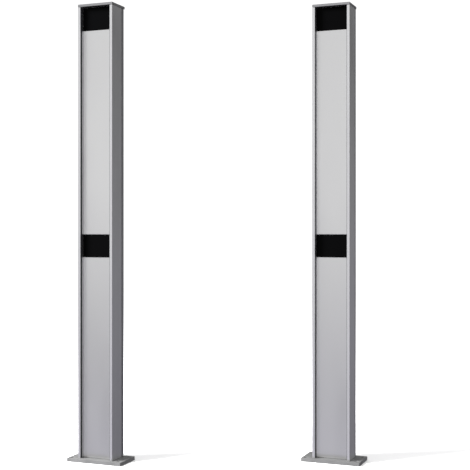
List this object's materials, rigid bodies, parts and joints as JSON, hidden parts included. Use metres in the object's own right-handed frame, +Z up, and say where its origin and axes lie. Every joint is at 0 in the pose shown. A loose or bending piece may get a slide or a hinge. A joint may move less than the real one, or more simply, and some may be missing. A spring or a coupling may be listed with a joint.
{
  "type": "security gate",
  "caption": "Gate of tall slim rectangular metal posts on bolted base plates, with recessed front panels, black sensor windows and pivoting rear doors.",
  "frame": {"origin": "on the floor, midway between the two posts (bottom centre of the whole)", "axes": "+Z up, +X to the right of someone who faces the posts' fronts, which look to -Y; people pass along Y; the right post stands further back, so the line that joins the posts is turned 22 degrees from X"},
  "size_m": [0.9186, 0.3964, 1.512],
  "materials": {
    "satin_aluminium": "satin anodised",
    "panel_aluminium": "satin anodised, fine brushed",
    "dark_aluminium": "satin anodised, darker grey",
    "brushed_steel": "satin",
    "black_acrylic": "gloss black, passes infrared",
    "zinc_plate": "bright sheet metal",
    "chrome": "polished",
    "black_plastic": "matte moulded",
    "dark_lens": "gloss, deep red-black",
    "circuit_board": "solder mask",
    "terminal_plastic": "moulded",
    "cable_grey": "matte sheath",
    "brass": "plain"
  },
  "bodies": {
    "posts": {"left_base_plate": "brushed_steel", "left_foot_bracket": "zinc_plate", "left_cable_gland": "black_plastic", "left_earth_stud": "brass", "left_column": "satin_aluminium", "left_top_cap": "dark_aluminium", "left_lower_panel": "panel_aluminium", "left_upper_panel": "panel_aluminium", "left_middle_window": "black_acrylic", "left_top_window": "black_acrylic", "left_lower_pivot_pin": "zinc_plate", "left_chassis_plate": "zinc_plate", "left_controller_board": "circuit_board", "left_terminal_block": "terminal_plastic", "left_power_supply": "zinc_plate", "left_sounder": "black_plastic", "left_supply_cable": "cable_grey", "left_top_sensor_cable": "cable_grey", "left_middle_sensor_cable": "cable_grey", "left_middle_sensor_bracket": "zinc_plate", "left_top_sensor_bracket": "zinc_plate", "right_base_plate": "brushed_steel", "right_foot_bracket": "zinc_plate", "right_cable_gland": "black_plastic", "right_earth_stud": "brass", "right_column": "satin_aluminium", "right_top_cap": "dark_aluminium", "right_lower_panel": "panel_aluminium", "right_upper_panel": "panel_aluminium", "right_middle_window": "black_acrylic", "right_top_window": "black_acrylic", "right_lower_pivot_pin": "zinc_plate", "right_chassis_plate": "zinc_plate", "right_controller_board": "circuit_board", "right_terminal_block": "terminal_plastic", "right_power_supply": "zinc_plate", "right_sounder": "black_plastic", "right_supply_cable": "cable_grey", "right_top_sensor_cable": "cable_grey", "right_middle_sensor_cable": "cable_grey", "right_middle_sensor_bracket": "zinc_plate", "right_top_sensor_bracket": "zinc_plate"},
    "left_door": {"left_rear_door": "dark_aluminium", "left_upper_pivot_pin": "zinc_plate", "left_lock_body": "chrome"},
    "left_lock": {"left_lock_plug": "chrome", "left_lock_cam": "zinc_plate"},
    "left_top_sensor": {"left_top_sensor_housing": "black_plastic", "left_top_sensor_lens": "dark_lens"},
    "left_middle_sensor": {"left_middle_sensor_housing": "black_plastic", "left_middle_sensor_lens": "dark_lens"},
    "right_door": {"right_rear_door": "dark_aluminium", "right_upper_pivot_pin": "zinc_plate", "right_lock_body": "chrome"},
    "right_lock": {"right_lock_plug": "chrome", "right_lock_cam": "zinc_plate"},
    "right_top_sensor": {"right_top_sensor_housing": "black_plastic", "right_top_sensor_lens": "dark_lens"},
    "right_middle_sensor": {"right_middle_sensor_housing": "black_plastic", "right_middle_sensor_lens": "dark_lens"}
  },
  "joints": [
    {"name": "left_door_swing", "type": "hinge", "parent": "posts", "child": "left_door", "pos_m": [-0.41578, -0.10516, 0.759], "axis": [0, 0, 1], "range_deg": [0, 105]},
    {"name": "left_lock_turn", "type": "hinge", "parent": "left_door", "child": "left_lock", "pos_m": [-0.32328, -0.11116, 0.9], "axis": [0, 1, 0], "range_deg": [0, 90]},
    {"name": "left_top_sensor_tilt", "type": "hinge", "parent": "posts", "child": "left_top_sensor", "pos_m": [-0.35928, -0.14216, 1.465], "axis": [1, 0, 0], "range_deg": [-10, 10]},
    {"name": "left_middle_sensor_tilt", "type": "hinge", "parent": "posts", "child": "left_middle_sensor", "pos_m": [-0.35928, -0.14216, 0.714], "axis": [1, 0, 0], "range_deg": [-10, 10]},
    {"name": "right_door_swing", "type": "hinge", "parent": "posts", "child": "right_door", "pos_m": [0.30278, 0.18516, 0.759], "axis": [0, 0, 1], "range_deg": [0, 105]},
    {"name": "right_lock_turn", "type": "hinge", "parent": "right_door", "child": "right_lock", "pos_m": [0.39528, 0.17916, 0.9], "axis": [0, 1, 0], "range_deg": [0, 90]},
    {"name": "right_top_sensor_tilt", "type": "hinge", "parent": "posts", "child": "right_top_sensor", "pos_m": [0.35928, 0.14816, 1.465], "axis": [1, 0, 0], "range_deg": [-10, 10]},
    {"name": "right_middle_sensor_tilt", "type": "hinge", "parent": "posts", "child": "right_middle_sensor", "pos_m": [0.35928, 0.14816, 0.714], "axis": [1, 0, 0], "range_deg": [-10, 10]}
  ]
}
